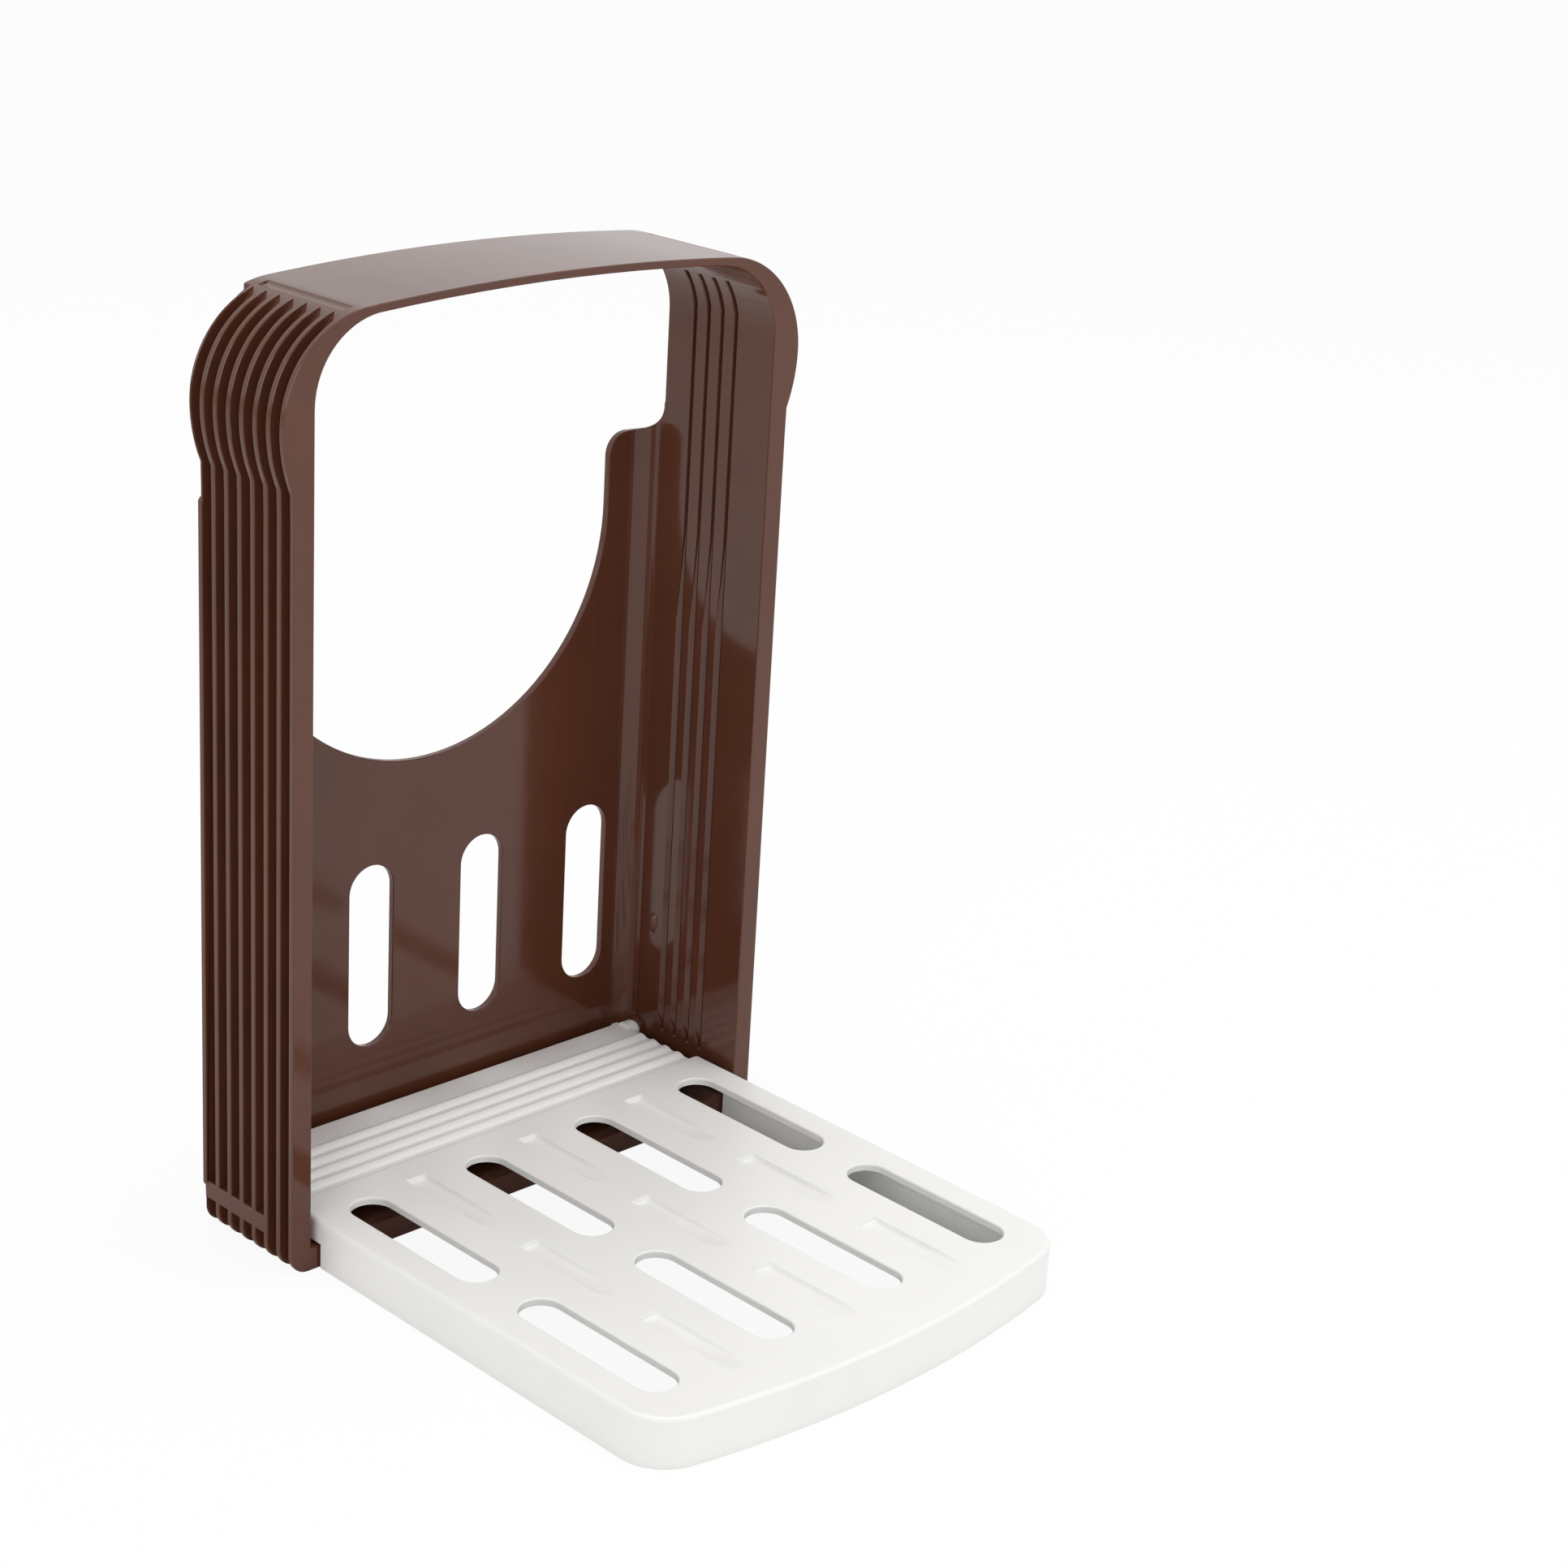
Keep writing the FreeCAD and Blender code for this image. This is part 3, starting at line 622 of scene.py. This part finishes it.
def make_tray():
    bm = bmesh.new()
    tray_top(bm)
    ridge_plate(bm)
    for side in (1, -1):
        tray_cheek(bm, side)
        trunnion(bm, side)
    bmesh.ops.remove_doubles(bm, verts=bm.verts, dist=0.0005)
    bmesh.ops.dissolve_degenerate(bm, dist=0.0005, edges=bm.edges)
    bmesh.ops.recalc_face_normals(bm, faces=bm.faces)
    tray = linked("tray_moulding", stored(bm, bpy.data.meshes.new("tray_moulding")))
    shaded(tray, 35.0, 60)
    return tray


def finish_piece(obj, material, body, node_names):
    obj.data.transform(Matrix.Scale(MM, 4))
    obj.data.materials.clear()
    obj.data.materials.append(material)
    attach(obj, body)
    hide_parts(*node_names)


# ---- floor, world and lamps --------------------------------------------------
def make_floor():
    """Pale floor that the camera sees as nearly white, with a faint shadow of the object."""
    bm = bmesh.new()
    bmesh.ops.create_grid(bm, x_segments=1, y_segments=1, size=8.0)
    floor = linked("floor", stored(bm, bpy.data.meshes.new("floor")))
    material, tree, shader = new_material("floor_white")
    shader.inputs["Base Color"].default_value = (0.93, 0.93, 0.93, 1.0)
    shader.inputs["Roughness"].default_value = 0.9
    shader.inputs["Specular IOR Level"].default_value = 0.1
    glow = tree.nodes.new("ShaderNodeEmission")
    glow.inputs["Color"].default_value = (1.0, 1.0, 1.0, 1.0)
    glow.inputs["Strength"].default_value = 1.0
    path = tree.nodes.new("ShaderNodeLightPath")
    share = tree.nodes.new("ShaderNodeMath")
    share.operation = "MULTIPLY"
    share.inputs[1].default_value = 0.92
    tree.links.new(path.outputs["Is Camera Ray"], share.inputs[0])
    mix = tree.nodes.new("ShaderNodeMixShader")
    tree.links.new(share.outputs["Value"], mix.inputs["Fac"])
    tree.links.new(shader.outputs["BSDF"], mix.inputs[1])
    tree.links.new(glow.outputs["Emission"], mix.inputs[2])
    tree.links.new(mix.outputs["Shader"], tree.nodes["Material Output"].inputs["Surface"])
    floor.data.materials.append(material)


def make_world():
    """White behind the object and in its gloss, and a plain even light for the rest."""
    world = bpy.data.worlds.new("studio")
    bpy.context.scene.world = world
    world.use_nodes = True
    tree = world.node_tree
    shown = tree.nodes["Background"]
    shown.inputs["Color"].default_value = (1.0, 1.0, 1.0, 1.0)
    shown.inputs["Strength"].default_value = 1.0
    light = tree.nodes.new("ShaderNodeBackground")
    light.inputs["Color"].default_value = (1.0, 0.985, 0.965, 1.0)
    light.inputs["Strength"].default_value = 0.6
    path = tree.nodes.new("ShaderNodeLightPath")
    seen = path.outputs["Is Camera Ray"]
    for ray in ("Is Glossy Ray", "Is Transmission Ray"):
        either = tree.nodes.new("ShaderNodeMath")
        either.operation = "MAXIMUM"
        tree.links.new(seen, either.inputs[0])
        tree.links.new(path.outputs[ray], either.inputs[1])
        seen = either.outputs["Value"]
    mix = tree.nodes.new("ShaderNodeMixShader")
    tree.links.new(seen, mix.inputs["Fac"])
    tree.links.new(light.outputs["Background"], mix.inputs[1])
    tree.links.new(shown.outputs["Background"], mix.inputs[2])
    tree.links.new(mix.outputs["Shader"], tree.nodes["World Output"].inputs["Surface"])


def make_lamp(name, place, size, power):
    """Area lamp in metres and watts, aimed at the middle of the object."""
    data = bpy.data.lights.new(name, "AREA")
    data.shape = "RECTANGLE"
    data.size = size[0]
    data.size_y = size[1]
    data.energy = power
    lamp = linked(name, data)
    lamp.location = place
    aim = Vector((0.0, 0.0, 0.1)) - Vector(place)
    lamp.rotation_mode = "QUATERNION"
    lamp.rotation_quaternion = aim.to_track_quat("-Z", "Y")


# ---- the scene ---------------------------------------------------------------
brown = moulded_plastic("brown_plastic", dark=(0.092, 0.030, 0.016), light=(0.106, 0.035, 0.019),
                        rough=(0.09, 0.14), ior=1.47, bump=0.03)
white = moulded_plastic("white_plastic", dark=(0.86, 0.86, 0.845), light=(0.88, 0.88, 0.868),
                        rough=(0.32, 0.40), ior=1.46, bump=0.01)

finish_piece(make_frame(), brown, "frame", FRAME_NODES)
finish_piece(make_tray(), white, "tray", TRAY_NODES)
finish_piece(catch_bumps(), brown, "frame", ["frame_catch_bumps"])

bpy.context.scene.view_settings.view_transform = "Standard"
make_camera()
make_floor()
make_world()
make_lamp("key", (0.75, -1.1, 0.8), (1.0, 1.0), 4.0)
make_lamp("fill", (-1.2, -0.7, 0.7), (0.8, 0.8), 4.5)
make_lamp("top", (0.1, 0.1, 1.4), (0.9, 0.6), 7.0)
